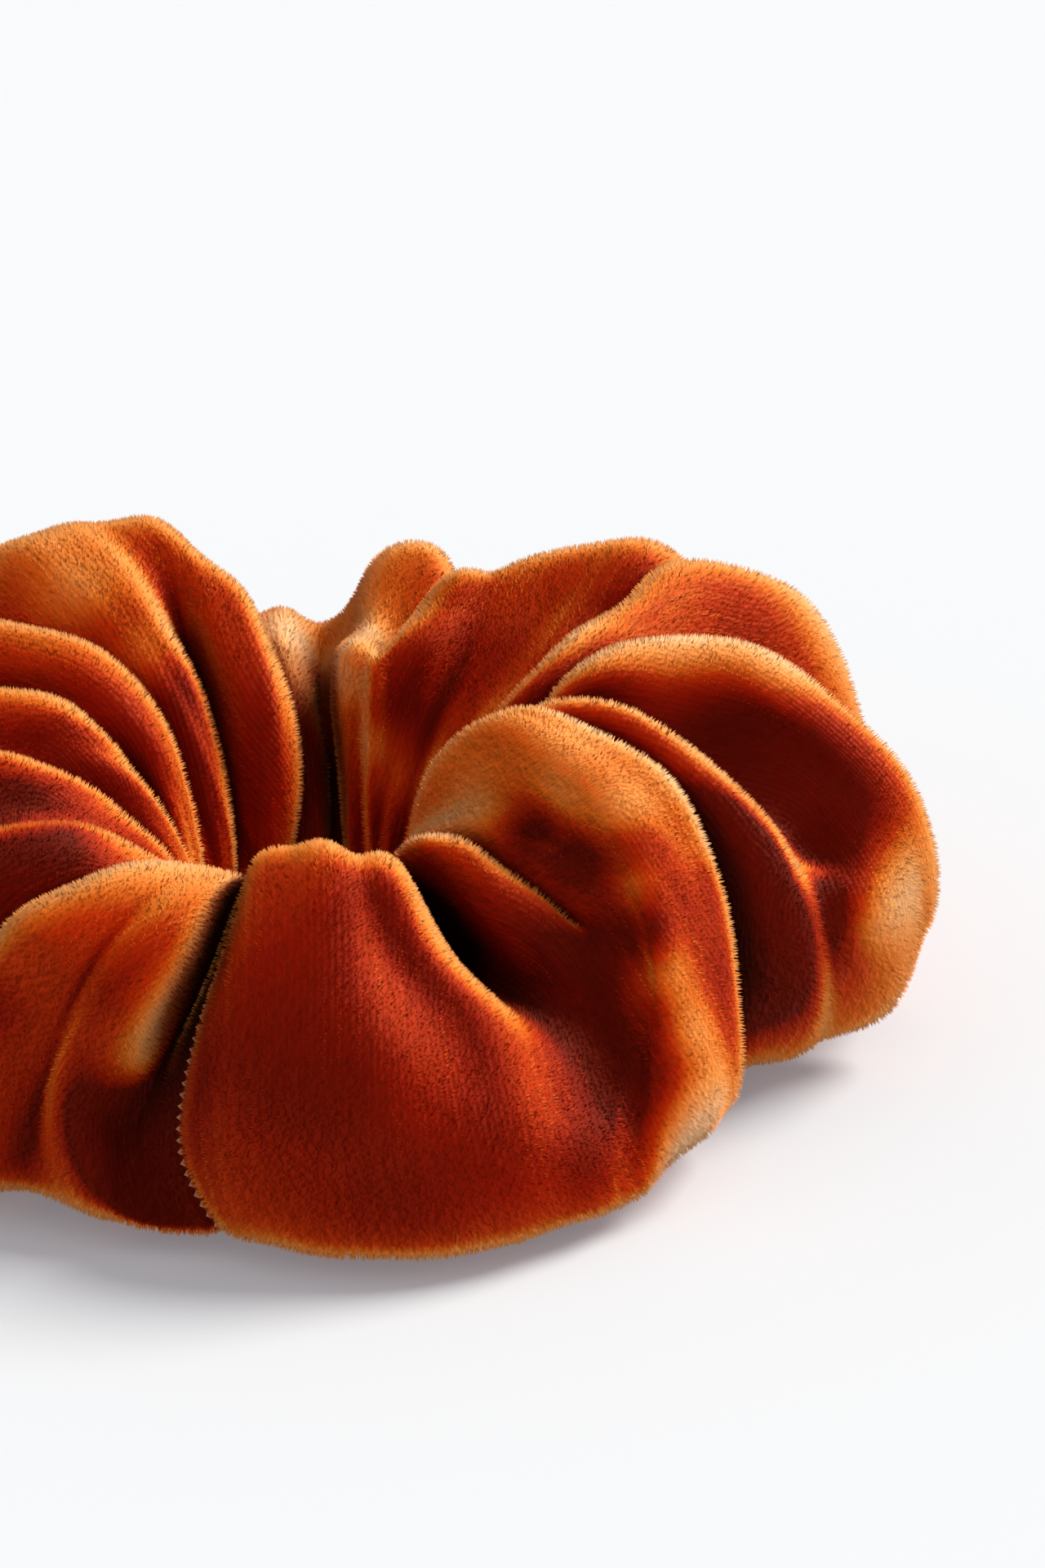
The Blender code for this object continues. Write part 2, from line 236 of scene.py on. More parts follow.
def relax(grid, times, axis):
    """Evens out a closed grid along one axis, a little each time."""
    for _ in range(times):
        grid = grid + ((np.roll(grid, 1, axis) + np.roll(grid, -1, axis)) / 2 - grid) * 0.5
    return grid


def even_out(grid, count):
    """The same cloth with its columns evenly spaced, and where each old column now lies."""
    steps = np.linalg.norm(np.roll(grid, -1, 0) - grid, axis=2).mean(1)
    far = np.concatenate([[0], np.cumsum(steps)])
    old = far / far[-1] * count
    where = np.interp(np.arange(count), old, np.arange(len(old)))
    i, part = where.astype(int), (where % 1)[:, None, None]
    closed = np.concatenate([grid, grid[:1]])
    return closed[i] * (1 - part) + closed[i + 1] * part, old


COLUMN_STEPS = 6  # points of the curve to each control column
SECTION_STEPS = 12  # and to each place on a pleat
COLUMNS = 720  # once they are evenly spaced round the ring
columns, pleat_at = pleat_columns()
cloth = smooth_closed(columns, COLUMN_STEPS)
cloth = smooth_closed(cloth.transpose(1, 0, 2), SECTION_STEPS).transpose(1, 0, 2)
cloth, now_at = even_out(cloth, COLUMNS)
pleat_at = {name: int(round(now_at[at * COLUMN_STEPS])) % COLUMNS for name, at in pleat_at.items()}
cloth = relax(relax(cloth, 16, 0), 4, 1)
around_count, section_count = cloth.shape[:2]

# Soft wrinkles that follow the gathers, stronger towards the hole, and the pull of the end seam.
normals = grid_normals(cloth)
ripple = np.zeros(cloth.shape[:2])
for i in range(around_count):
    for k in range(section_count):
        x, y, z = cloth[i, k] * 1000
        angle, reach = math.atan2(y, x), math.hypot(x, y)
        fine = noise.noise(Vector((math.cos(angle) * 9, math.sin(angle) * 9, reach * 0.05 + z * 0.04)))
        broad = noise.noise(Vector((x * 0.09, y * 0.09, z * 0.09 + 7)))
        ripple[i, k] = 0.00055 * fine * min(1, 22 / reach) + 0.0006 * broad
for name, place, reach, deep in DENTS:
    far = np.linalg.norm(cloth - cloth[pleat_at[name], int(place * SECTION_STEPS)], axis=2) * 1000 / reach
    ripple -= deep / 1000 * np.exp(-far ** 2)
seam_column = pleat_at["end_seam"]
gap = np.abs((np.arange(around_count) - seam_column + around_count / 2) % around_count - around_count / 2)
ripple -= (0.0007 * np.exp(-(gap / 1.6) ** 2))[:, None]
cloth = cloth + normals * ripple[..., None]
cloth[..., 2] = np.maximum(cloth[..., 2], LOWEST)
normals = grid_normals(cloth)


# The nap: the pile leans along the cloth. Each listed patch leans it further, as pile brushed one way, and
# paints its colour paler or deeper: painted highlights and painted shade. A patch is (pleat, place on it,
# reach in mm, how much paler), and only reaches cloth that faces the same way.
NAP = 0.10  # how far the pile leans, where nothing has brushed it
NAP_AND_PAINTED_LIGHT_PATCHES = [
    ("end_seam", 3, 5, -0.35), ("end_seam", 4, 5, -0.4), ("end_seam", 5, 5, -0.35),
    ("front_left", 2, 4, -0.2),
    ("front_a", 1, 6, 0.15), ("front_rim", 1, 3, 0.2), ("front_valley", 3.6, 4, -0.5),
    ("front_valley", 5.4, 6, -0.1), ("front_valley_side", 4.8, 5, -0.15),
    ("tongue", 2, 4, 0.15), ("tongue", 4, 4, -0.1), ("tongue_valley", 3, 3, -0.45),
    ("roll_lip", 2, 6, 0.45), ("roll_lip", 3.1, 2.6, -0.45), ("roll_lip", 3.5, 2.4, -0.25),
    ("roll_face", 3, 8, 0.25), ("roll_face", 3.2, 4, 0.3), ("roll_face", 4.2, 2.4, 0.55),
    ("roll_face", 4.8, 2.4, 0.6), ("roll_face", 5.9, 3, 0.5), ("roll_crease", 3.8, 2.6, 0.5),
    ("roll_crease", 5.3, 2.6, 0.45), ("roll_crease", 5.7, 3, 0.45), ("roll_crease", 6, 5, 0.4),
    ("roll_edge", 3, 5, 0.4), ("roll_edge", 4, 4, 0.5),
    ("roll_edge", 4.5, 2.5, 0.4), ("roll_edge", 5, 3, 0.15),
    ("right_valley", 4, 5, -0.2), ("right_panel", 4, 10, -0.5), ("right_panel", 5, 8, -0.4),
    ("right_crest", 3, 5, 0.2), ("right_dimple", 5, 3, 0.45),
    ("right_slope", 5, 4, 0.6), ("right_slope", 6, 4, 0.4),
    ("right_back", 2, 4, 0.3), ("right_back", 3, 5, 0.5), ("right_back", 4, 4, 0.45),
    ("east_crest", 2, 3, 0.4), ("east_crest", 5, 6, 0.35),
    ("rear_face", 3.6, 5, 0.15), ("wall_right", 3.6, 5, 0.2),
    ("wall_edge", 0.8, 3, 0.3), ("wall_fold", 1.1, 2.5, 0.45),
    ("wall_peak", 1.6, 2.5, 0.5), ("wall_peak", 2, 4, 0.3),
    ("wall_peak", 3, 4, 0.35), ("wall_peak", 3.6, 4, 0.2), ("wall_left", 2, 5, 0.35),
    ("north_crest", 2, 4, 0.4), ("north_crest", 3, 4, 0.55),
    ("big_crevice", 1.5, 4, -0.2), ("big_crevice", 2.3, 4, -0.15),
    ("big_crest", 1.6, 2.5, -0.15), ("big_crest", 2, 3, 0.2),
    ("big_slope", 2, 4, 0.25), ("big_slope", 3, 5, 0.35), ("west_slot_a", 4, 6, 0.15),
    ("left_dip", 3, 5, -0.2), ("left_panel", 2.1, 3, -0.35), ("left_panel", 3, 9, -0.35),
    ("left_roll", 2, 5, 0.3), ("left_roll", 3, 6, 0.3), ("left_roll", 3.9, 4, 0.2),
    ("near_valley", 3, 5, 0.15),
    ("near_flank", 2, 3, 0.6), ("near_flank", 2.5, 3, 0.5), ("near_flank", 3, 3, 0.6),
    ("near_flank", 3.5, 3, 0.6), ("near_flank", 4, 3, 0.7), ("near_flank", 5, 5, -0.3),
    ("seam_valley", 3, 4, -0.4), ("seam_valley", 4, 5, -0.5),
]
along_section = np.roll(cloth, -1, 1) - np.roll(cloth, 1, 1)
along_section /= np.linalg.norm(along_section, axis=2, keepdims=True) + 1e-12
brushed = np.zeros(cloth.shape[:2])
# Each patch tilts the nap and also paints the colour paler (painted highlight) or deeper (painted shade).
for name, place, reach, paler in NAP_AND_PAINTED_LIGHT_PATCHES:
    column, row = pleat_at[name], int(place * SECTION_STEPS)
    far = np.linalg.norm(cloth - cloth[column, row], axis=2) * 1000 / reach
    same = np.clip((normals * normals[column, row]).sum(2) * 2 - 0.4, 0, 1)
    brushed += paler * np.exp(-far ** 2) * same
brushed = relax(np.clip(brushed, -0.6, 1), 3, 0)
nap = normals + along_section * (NAP + 0.25 * brushed[..., None])
nap /= np.linalg.norm(nap, axis=2, keepdims=True)
# How far each point stands out of the cloth round it: 1 on a tight crest, -1 deep in a hollow.
CREST = 0.0016  # standing out this far is a tight crest
fold = np.clip(((cloth - relax(relax(cloth, 60, 0), 6, 1)) * normals).sum(2) / CREST, -1, 1)
WAYS = 40  # directions tried from each point
GOLDEN = 2.39996  # the turn between two of them, in radians
NEAR = 0.018  # how far away cloth still shuts a point in


def openness():
    """How much of the room light reaches each point of the cloth, from 0 shut in to 1 out in the open."""
    grid, facing = cloth[::3, ::2], normals[::3, ::2]
    rows, cells = grid.shape[:2]
    faces = [(i * cells + k, i * cells + (k + 1) % cells, (i + 1) % rows * cells + (k + 1) % cells,
              (i + 1) % rows * cells + k) for i in range(rows) for k in range(cells)]
    tree = BVHTree.FromPolygons(grid.reshape(-1, 3).tolist(), faces)
    heights = np.linspace(-0.95, 0.95, WAYS)
    turns = np.arange(WAYS) * GOLDEN
    wide = np.sqrt(1 - heights ** 2)
    ways = np.stack([wide * np.cos(turns), wide * np.sin(turns), heights], 1)
    share = np.zeros(rows * cells)
    for n, (point, out) in enumerate(zip(grid.reshape(-1, 3), facing.reshape(-1, 3))):
        slopes = ways @ out
        start = Vector(point + out * 0.0007)
        for k in np.nonzero(slopes > 0.25)[0]:
            if tree.ray_cast(start, Vector(ways[k]), NEAR)[0] is None:
                share[n] += slopes[k]
        share[n] /= slopes[slopes > 0.25].sum()
    share = relax(relax(share.reshape(rows, cells), 2, 0), 1, 1)
    where = np.arange(around_count) / 3
    i, part = where.astype(int) % rows, (where % 1)[:, None]
    share = share[i] * (1 - part) + share[(i + 1) % rows] * part
    return np.stack([share, (share + np.roll(share, -1, 1)) / 2], 2).reshape(around_count, -1)


opened = openness() + 0.35 * np.minimum(brushed, 0)  # painted shade: where the patches paint it deeper, it is darkened as a hollow is


def colour(code):
    """A colour written as sRGB hex, as the linear values the shaders take."""
    parts = [int(code[k:k + 2], 16) / 255 for k in (1, 3, 5)]
    return [p / 12.92 if p <= 0.04045 else ((p + 0.055) / 1.055) ** 2.4 for p in parts] + [1]


def add(tree, kind, settings=None, inputs=None):
    """Adds a node with its settings, and sets or links its inputs by name or number."""
    node = tree.nodes.new(kind)
    for key, value in (settings or {}).items():
        setattr(node, key, value)
    for key, value in (inputs or {}).items():
        if isinstance(value, bpy.types.NodeSocket):
            tree.links.new(value, node.inputs[key])
        else:
            node.inputs[key].default_value = value
    return node


def new_material(name):
    """An empty material, its node tree and its surface."""
    material = bpy.data.materials.new(name)
    material.use_nodes = True
    tree = material.node_tree
    return material, tree, tree.nodes["Principled BSDF"]


def ramp(tree, factor, stops):
    """A colour ramp with these (position, sRGB hex) stops."""
    node = add(tree, "ShaderNodeValToRGB", None, {0: factor})
    marks = node.color_ramp.elements
    while len(marks) < len(stops):
        marks.new(0.5)
    for mark, (place, code) in zip(marks, stops):
        mark.position = place
        mark.color = colour(code)
    return node.outputs[0]


def show(name, mesh, material):
    """Puts a mesh in the scene with one material."""
    obj = bpy.data.objects.new(name, mesh)
    bpy.context.collection.objects.link(obj)
    mesh.materials.append(material)
    return obj


# Distance along the cloth's rows: one figure per grid point for each run, measured from that run's own pleat.
run_ends = [pleat_at[name] for name, _ in RUNS] + [around_count + pleat_at[RUNS[0][0]]]
run_zero = [pleat_at[name] for _, name in RUNS]


def row_distance(line, first, last, zero):
    """How far each point from first to last on one closed line round the ring lies from the point zero."""
    picked = line[np.arange(first, last + 1) % around_count]
    steps = np.linalg.norm(np.diff(picked, axis=0), axis=1)
    far = np.concatenate([[0], np.cumsum(steps)])
    return far - far[zero - first]


section_far = np.concatenate([np.zeros((around_count, 1)),
                              np.cumsum(np.linalg.norm(np.roll(cloth, -1, 1) - cloth, axis=2), 1)], 1)


def build_casing():
    """The cloth as one closed mesh, its right side and its wrong side, with the figures that paint sheen and
    shade into its colour.
    """
    inside = cloth - normals * CLOTH
    inside[..., 2] = np.maximum(inside[..., 2], LOWEST + CLOTH)
    inner = inside[::2, ::2]
    points = np.concatenate([cloth.reshape(-1, 3), inner.reshape(-1, 3)])
    faces, uvs = [], []
    for first, last, zero in zip(run_ends, run_ends[1:], run_zero):
        far = np.stack([row_distance(cloth[:, k], first, last, zero) for k in range(section_count)], 1)
        for i in range(first, last):
            j = (i + 1) % around_count
            for k in range(section_count):
                m = (k + 1) % section_count
                faces.append((i * section_count + k, i * section_count + m,
                              j * section_count + m, j * section_count + k))
                near, away = far[i - first], far[i - first + 1]
                uvs += [(near[k], section_far[i, k]), (near[m], section_far[i, k + 1]),
                        (away[m], section_far[j, k + 1]), (away[k], section_far[j, k])]
    base, rows, cells = cloth[..., 0].size, inner.shape[0], inner.shape[1]
    for i in range(rows):
        j = (i + 1) % rows
        for k in range(cells):
            m = (k + 1) % cells
            faces.append((base + i * cells + k, base + j * cells + k,
                          base + j * cells + m, base + i * cells + m))
            uvs += [(0, 0)] * 4
    mesh = bpy.data.meshes.new("velvet_casing_cloth")
    mesh.from_pydata(points.tolist(), [], faces)
    layer = mesh.uv_layers.new(name="cloth")
    layer.data.foreach_set("uv", (np.array(uvs) * UV_SCALE).ravel())
    for name, values in (("fold", fold), ("opened", opened), ("brushed", brushed)):
        values = np.concatenate([values.ravel(), values[::2, ::2].ravel()])
        mesh.attributes.new(name, "FLOAT", "POINT").data.foreach_set("value", values)
    shape = bmesh.new()
    shape.from_mesh(mesh)
    outer = [face for face in shape.faces if face.index < base]
    middle = Vector((0, 0, LOOP_HEIGHT))
    if sum(face.normal.dot(face.calc_center_median() - middle) * face.calc_area() for face in outer) < 0:
        bmesh.ops.reverse_faces(shape, faces=shape.faces)
    shape.to_mesh(mesh)
    shape.free()
    mesh.shade_smooth()
    inward = -normals[::2, ::2]
    directions = np.concatenate([nap.reshape(-1, 3), inward.reshape(-1, 3)])
    mesh.normals_split_custom_set_from_vertices(directions.tolist())
    return mesh


def velvet_colours_with_painted_light(tree):
    """The velvet's colour with painted light in it: a painted sheen, peach edge-on and on crests, deep
    red-brown face-on; painted highlights and shade from the patches; painted shade in hollows.
    """
    # Painted sheen: paler the more edge-on the cloth is to the view and the tighter its crest.
    facing = add(tree, "ShaderNodeLayerWeight", None, {0: 0.5}).outputs[1]
    crest = add(tree, "ShaderNodeAttribute", {"attribute_name": "fold"}).outputs["Fac"]
    painted_rim_sheen = add(tree, "ShaderNodeMath", {"operation": "MULTIPLY_ADD"}, {0: crest, 1: 0.13, 2: facing})
    # Painted highlights and painted shade from the listed patches.
    painted_patch_light = add(tree, "ShaderNodeAttribute", {"attribute_name": "brushed"}).outputs["Fac"]
    paler = add(tree, "ShaderNodeMath", {"operation": "ADD"}, {0: painted_rim_sheen.outputs[0], 1: painted_patch_light})
    share = add(tree, "ShaderNodeMath", {"operation": "MULTIPLY"}, {0: paler.outputs[0], 1: 0.72})
    pile = ramp(tree, share.outputs[0],
                [(0.0, "#680800"), (0.1, "#9c1700"), (0.26, "#cc3a04"), (0.4, "#ec741c"),
                 (0.55, "#ff9c46"), (0.75, "#ffb46a"), (1.0, "#ffcf98")])
    opened = add(tree, "ShaderNodeAttribute", {"attribute_name": "opened"}).outputs["Fac"]
    # Painted shade: the colour is darkened where little room light reaches the cloth, in hollows and deep
    # valleys.
    shut = ramp(tree, opened, [(0.16, "#220804"), (0.42, "#96604c"), (0.66, "#ffffff")])
    both = add(tree, "ShaderNodeMix", {"data_type": "RGBA", "blend_type": "MULTIPLY"},
               {0: 1.0, 6: pile, 7: shut})
    return both.outputs[2]


def velvet_finish(surface):
    """Dull, with a warm bloom where it turns away, which is how cut pile catches the light on its tips."""
    surface.inputs["Roughness"].default_value = 0.6
    surface.inputs["Specular IOR Level"].default_value = 0.2
    surface.inputs["Specular Tint"].default_value = colour("#ffb27a")
    surface.inputs["Sheen Weight"].default_value = 0.8
    surface.inputs["Sheen Roughness"].default_value = 0.25
    surface.inputs["Sheen Tint"].default_value = colour("#ff9446")


ROW_PITCH = 0.00055  # between two rows of the knit, round the ring
UV_SCALE = 100  # the cloth's own coordinates are in centimetres


def backing_material():
    """The velvet's knit ground: fine ribs, with painted shade darker between the rows, so that the pile has
    depth beneath it.
    """
    material, tree, surface = new_material("velvet_ground")
    uv = add(tree, "ShaderNodeUVMap", {"uv_map": "cloth"}).outputs[0]
    place = add(tree, "ShaderNodeSeparateXYZ", None, {0: uv})
    across = add(tree, "ShaderNodeMath", {"operation": "MULTIPLY"},
                 {0: place.outputs[0], 1: 2 * math.pi / (ROW_PITCH * UV_SCALE)})
    rows = add(tree, "ShaderNodeMath", {"operation": "COSINE"}, {0: across.outputs[0]})
    # Painted shade between the rows of the knit.
    painted_row_shade_share = add(tree, "ShaderNodeMapRange", None, {0: rows.outputs[0], 1: -1.0, 2: 1.0, 3: 0.22, 4: 0.0})
    flat = velvet_colours_with_painted_light(tree)
    painted_row_shade = add(tree, "ShaderNodeMix", {"data_type": "RGBA", "blend_type": "MULTIPLY"},
               {0: painted_row_shade_share.outputs[0], 6: flat, 7: colour("#a05a40")})
    tree.links.new(painted_row_shade.outputs[2], surface.inputs["Base Color"])
    grain = add(tree, "ShaderNodeTexNoise", None, {"Vector": uv, "Scale": 60.0, "Detail": 2.0})
    height = add(tree, "ShaderNodeMath", {"operation": "ADD"}, {0: rows.outputs[0], 1: grain.outputs[0]})
    bump = add(tree, "ShaderNodeBump", None,
               {"Strength": 0.3, "Distance": 0.0001, "Height": height.outputs[0]})
    tree.links.new(bump.outputs[0], surface.inputs["Normal"])
    velvet_finish(surface)
    return material


casing = show("velvet_cloth", build_casing(), backing_material())
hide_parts("velvet_casing")
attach(casing, "casing")


# The pile: short cut fibres of silky polyester, knitted into the ground in rows across the tube. They stand
# out of the cloth and are what shows pale at every edge, by their sheen and by the painted edge-on sheen. Each
# tuft is one narrow three-sided spike that stands for some tens of fibres, as coarse as it needs to be to
# show.
TUFT_PITCH = 0.00018  # between two tufts in a row
TUFT_LENGTH = 0.0005
PILE_PARTS = 5  # pieces that the pile is made in, as one would be too large


def pile_points():
    """Where the tufts stand, which way they lean, and the figures that paint their sheen, glints and shade,
    row by row.
    """
    perimeter = section_far[:, -1].mean()
    samples = int(perimeter / TUFT_PITCH)
    found = []
    carried = np.stack([fold, opened, brushed], 2)
    generator = np.random.default_rng(7)
    for sample in range(samples):
        place = sample / samples * section_count
        k, share = int(place), place % 1
        m = (k + 1) % section_count
        line, out, looks = (grid[:, k] * (1 - share) + grid[:, m] * share for grid in (cloth, nap, carried))
        for first, last, zero in zip(run_ends, run_ends[1:], run_zero):
            far = row_distance(line, first, last, zero)
            rows = np.arange(math.ceil(far[0] / ROW_PITCH), math.floor(far[-1] / ROW_PITCH) + 1)
            want = rows * ROW_PITCH + generator.normal(0, ROW_PITCH * 0.3, len(rows))
            where = np.interp(want, far, np.arange(first, last + 1))
            i, part = where.astype(int) % around_count, (where % 1)[:, None]
            j = (i + 1) % around_count
            tufts = np.concatenate([grid[i] * (1 - part) + grid[j] * part for grid in (line, out, looks)], 1)
            # A painted glint: here and there a row of tufts is painted paler in a line of dots, as the knit's
            # stitches glinting through.
            painted_glint = np.sin(rows * 2.4 + 3 * np.sin(rows * 0.21)) * np.sin(sample / 34 + rows * 0.13)
            painted_glint = np.clip(painted_glint, 0, 1)
            tufts[:, 8] += 0.2 * painted_glint * (sample % 2)
            found.append(tufts)
    return np.concatenate(found)


def pile_material():
    """Polyester pile in the ground's colours on its fibres, painted sheen and painted shade included; the
    painted edge-on sheen gives the crests their soft pale fringe.
    """
    material, tree, surface = new_material("velvet_pile")
    tree.links.new(velvet_colours_with_painted_light(tree), surface.inputs["Base Color"])
    velvet_finish(surface)
    return material


def spike_object():
    """One tuft, a narrow three-sided spike one unit long."""
    mesh = bpy.data.meshes.new("tuft_spike")
    foot = [(0.2 * math.cos(turn), 0.2 * math.sin(turn), -0.1) for turn in (0, 2.0944, 4.18879)]
    mesh.from_pydata(foot + [(0, 0, 1)], [], [(0, 1, 3), (1, 2, 3), (2, 0, 3)])
    mesh.shade_smooth()
    obj = bpy.data.objects.new("tuft_spike", mesh)
    bpy.context.collection.objects.link(obj)
    return obj


def scatter_group(spike, material):
    """Geometry nodes that stand a spike on each point, leaning its way, turned and sized at random."""
    tree = bpy.data.node_groups.new("stand_tufts", "GeometryNodeTree")
    tree.interface.new_socket("Geometry", in_out="INPUT", socket_type="NodeSocketGeometry")
    length = tree.interface.new_socket("Length", in_out="INPUT", socket_type="NodeSocketFloat")
    length.default_value = TUFT_LENGTH
    tree.interface.new_socket("Geometry", in_out="OUTPUT", socket_type="NodeSocketGeometry")
    given = add(tree, "NodeGroupInput")
    leaning = add(tree, "GeometryNodeInputNamedAttribute", {"data_type": "FLOAT_VECTOR"},
                  {"Name": "nap"}).outputs[0]
    sway = add(tree, "FunctionNodeRandomValue", {"data_type": "FLOAT_VECTOR"},
               {0: (-0.22, -0.22, -0.22), 1: (0.22, 0.22, 0.22), "Seed": 3})
    aim = add(tree, "ShaderNodeVectorMath", {"operation": "ADD"}, {0: leaning, 1: sway.outputs[0]})
    stand = add(tree, "FunctionNodeAlignRotationToVector", {"axis": "Z"}, {"Vector": aim.outputs[0]})
    size = add(tree, "FunctionNodeRandomValue", {"data_type": "FLOAT"}, {2: 0.75, 3: 1.15, "Seed": 9})
    tall = add(tree, "ShaderNodeMath", {"operation": "MULTIPLY"},
               {0: size.outputs[1], 1: given.outputs["Length"]})
    shape = add(tree, "GeometryNodeObjectInfo", None, {"Object": spike})
    put = add(tree, "GeometryNodeInstanceOnPoints", None,
              {"Points": given.outputs["Geometry"], "Instance": shape.outputs["Geometry"],
               "Rotation": stand.outputs[0], "Scale": tall.outputs[0]})
    real = add(tree, "GeometryNodeRealizeInstances", None, {0: put.outputs[0]})
    painted = add(tree, "GeometryNodeSetMaterial", None, {"Geometry": real.outputs[0], "Material": material})
    add(tree, "NodeGroupOutput", None, {0: painted.outputs[0]})
    return tree


def grow_pile():
    """Makes the pile's pieces, each a sector of the ring."""
    points = pile_points()
    spike, fibre = spike_object(), pile_material()
    group = scatter_group(spike, fibre)
    order = np.argsort(np.arctan2(points[:, 1], points[:, 0]), kind="stable")
    for n, part in enumerate(np.array_split(order, PILE_PARTS)):
        mesh = bpy.data.meshes.new("pile_points")
        mesh.from_pydata(points[part, :3].tolist(), [], [])
        leans = mesh.attributes.new("nap", "FLOAT_VECTOR", "POINT")
        leans.data.foreach_set("vector", points[part, 3:6].ravel())
        for column, name in enumerate(("fold", "opened", "brushed"), 6):
            mesh.attributes.new(name, "FLOAT", "POINT").data.foreach_set("value", points[part, column])
        holder = bpy.data.objects.new("pile_points", mesh)
        bpy.context.collection.objects.link(holder)
        holder.modifiers.new("tufts", "NODES").node_group = group
        graph = bpy.context.evaluated_depsgraph_get()
        grown = bpy.data.meshes.new_from_object(holder.evaluated_get(graph))
        grown.name = f"velvet_pile_{n + 1}"
        bpy.data.objects.remove(holder)
        bpy.data.meshes.remove(mesh)
        # A tuft takes the light as the cloth under it does, so its faces share the cloth's direction.
        facing = np.empty(len(grown.vertices) * 3)
        grown.attributes["nap"].data.foreach_get("vector", facing)
        grown.normals_split_custom_set_from_vertices(facing.reshape(-1, 3).tolist())
        piece = bpy.data.objects.new(grown.name, grown)
        bpy.context.collection.objects.link(piece)
        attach(piece, "casing")
    bpy.data.objects.remove(spike)


grow_pile()


# The four seam threads: twisted polyester in the velvet's colour, lockstitched by machine. The end seam's
# needle thread shows as a row of small bright stitches down the pulled-in line, and the rest lie inside.
THREAD = 0.0004  # how thick it is


def thread_material():
    """Twisted polyester, its plies a fine slanting ripple with a silky gleam, their crests painted paler as a
    painted highlight, so that stitches stand out.
    """
    material, tree, surface = new_material("polyester_twist")
    uv = add(tree, "ShaderNodeTexCoord").outputs["UV"]
    twist = add(tree, "ShaderNodeTexWave", {"bands_direction": "DIAGONAL"}, {"Vector": uv, "Scale": 60.0})
    # Painted highlight: the ripple that bumps the plies also paints their crests paler.
    shade = ramp(tree, twist.outputs["Fac"], [(0.0, "#b4531c"), (1.0, "#f0a264")])
    tree.links.new(shade, surface.inputs["Base Color"])
    bump = add(tree, "ShaderNodeBump", None,
               {"Strength": 0.5, "Distance": 0.00005, "Height": twist.outputs["Fac"]})
    tree.links.new(bump.outputs[0], surface.inputs["Normal"])
    surface.inputs["Roughness"].default_value = 0.45
    surface.inputs["Sheen Weight"].default_value = 0.3
    return material


def thread_piece(name, points, material, node):
    """A closed round thread through the points, in place of the CAD's one."""
    curve = bpy.data.curves.new(name, "CURVE")
    curve.dimensions = "3D"
    curve.bevel_depth = THREAD / 2
    curve.bevel_resolution = 1
    spline = curve.splines.new("POLY")
    spline.points.add(len(points) - 1)
    spline.points.foreach_set("co", np.concatenate([points, np.ones((len(points), 1))], 1).ravel())
    spline.use_cyclic_u = True
    holder = bpy.data.objects.new(name, curve)
    mesh = bpy.data.meshes.new_from_object(holder)
    bpy.data.objects.remove(holder)
    mesh.shade_smooth()
    piece = show(name, mesh, material)
    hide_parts(node)
    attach(piece, "casing")
    return piece


def along_loop(points, outs, pitch, high, low, steps):
    """A wavy thread on a closed line: it rises to high and falls to low above the line once every pitch."""
    lengths = np.linalg.norm(np.roll(points, -1, 0) - points, axis=1)
    far = np.concatenate([[0], np.cumsum(lengths)])
    count = int(far[-1] / pitch) * steps
    want = np.arange(count) / count * far[-1]
    closed_points = np.concatenate([points, points[:1]])
    closed_outs = np.concatenate([outs, outs[:1]])
    place = np.stack([np.interp(want, far, closed_points[:, n]) for n in range(3)], 1)
    away = np.stack([np.interp(want, far, closed_outs[:, n]) for n in range(3)], 1)
    wave = (high + low) / 2 + (high - low) / 2 * np.cos(np.arange(count) * 2 * math.pi / steps)
    return place + away * wave[:, None]


twist = thread_material()
seam_line, seam_out = cloth[seam_column], normals[seam_column]
thread_piece("end_seam_stitches", along_loop(seam_line, seam_out, 0.0009, 0.00045, -0.0008, 6), twist,
             "end_seam_needle_thread")
thread_piece("end_seam_under", along_loop(seam_line, seam_out, 0.0019, -0.0016, -0.0019, 4), twist,
             "end_seam_bobbin_thread")
LONG_SEAM_ROW = int(8.4 * SECTION_STEPS)  # low on the hole's side of the tube
long_line = relax(cloth[:, LONG_SEAM_ROW] * 0.85 + cloth.mean(1) * 0.15, 60, 0)
upwards = np.tile([0, 0, 1], (around_count, 1))
thread_piece("long_seam_stitches", along_loop(long_line, upwards, 0.0022, 0.0007, 0.0005, 4), twist,
             "long_seam_needle_thread")
thread_piece("long_seam_under", along_loop(long_line, upwards, 0.0022, -0.0005, -0.0007, 4), twist,
             "long_seam_bobbin_thread")


# The elastic and its two tacking threads: flat white braided elastic, lapped and held by a zigzag of the same
# thread as the seams, loose inside the casing. They keep their CAD shapes and get their real finish.
RIB_PITCH = 0.00075  # between two rubber cores, across the elastic
YARNS = 220.0  # wraps round the whole loop


